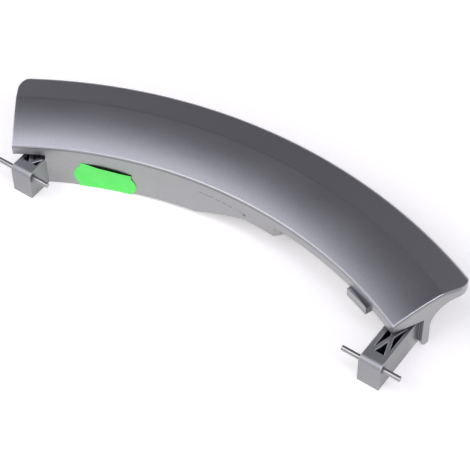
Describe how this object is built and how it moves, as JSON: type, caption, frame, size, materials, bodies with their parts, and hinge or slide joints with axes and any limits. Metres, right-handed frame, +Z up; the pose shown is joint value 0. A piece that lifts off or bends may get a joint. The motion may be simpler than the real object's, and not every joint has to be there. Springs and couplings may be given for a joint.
{
  "type": "appliance handle",
  "caption": "Curved silver grip of a round washing-machine door, with a finger cove behind its lip, ribbed pivot arms, pressed-in steel pins and a blank green price label.",
  "frame": {"origin": "middle of the whole handle in plan, on the plane that it rests on", "axes": "+X along the two hinge pins, from the left arm to the right arm as in the picture; +Y from the pins out to the grip's lip; +Z up, out of the grip's face"},
  "size_m": [0.2018, 0.068, 0.0267],
  "materials": {
    "silver_plastic": "moulded plastic painted metallic silver, satin gloss",
    "pin_steel": "bright drawn wire, cut ends",
    "label_paper": "fluorescent green self-adhesive paper, matt"
  },
  "bodies": {
    "root": {"handle_body": "silver_plastic", "left_pin": "pin_steel", "right_pin": "pin_steel", "price_label": "label_paper"}
  },
  "joints": []
}
